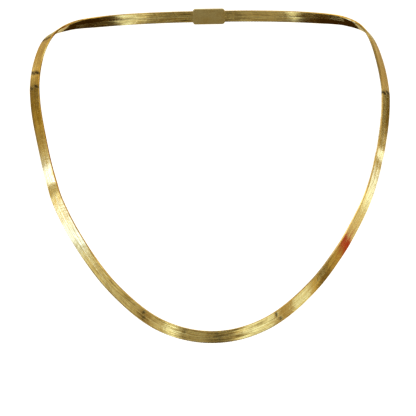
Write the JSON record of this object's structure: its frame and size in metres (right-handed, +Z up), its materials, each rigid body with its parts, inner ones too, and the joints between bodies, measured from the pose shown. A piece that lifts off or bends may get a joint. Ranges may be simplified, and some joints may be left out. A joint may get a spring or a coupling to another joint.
{
  "type": "herringbone chain necklace",
  "caption": "Flat herringbone chain worn as a necklace: a closed loop of V-shaped links in crowned columns, with a plain box clasp at the nape, held in the form it takes round a neck.",
  "frame": {"origin": "middle of the clasp's inner face, where the necklace lies against the nape of the neck", "axes": "+X to the wearer's left, -Y to the front of the chest, +Z up"},
  "size_m": [0.1313, 0.1179, 0.1021],
  "materials": {
    "chain_gold": "polished",
    "clasp_gold": "polished"
  },
  "bodies": {
    "root": {"chain": "chain_gold", "clasp": "clasp_gold"}
  },
  "joints": []
}
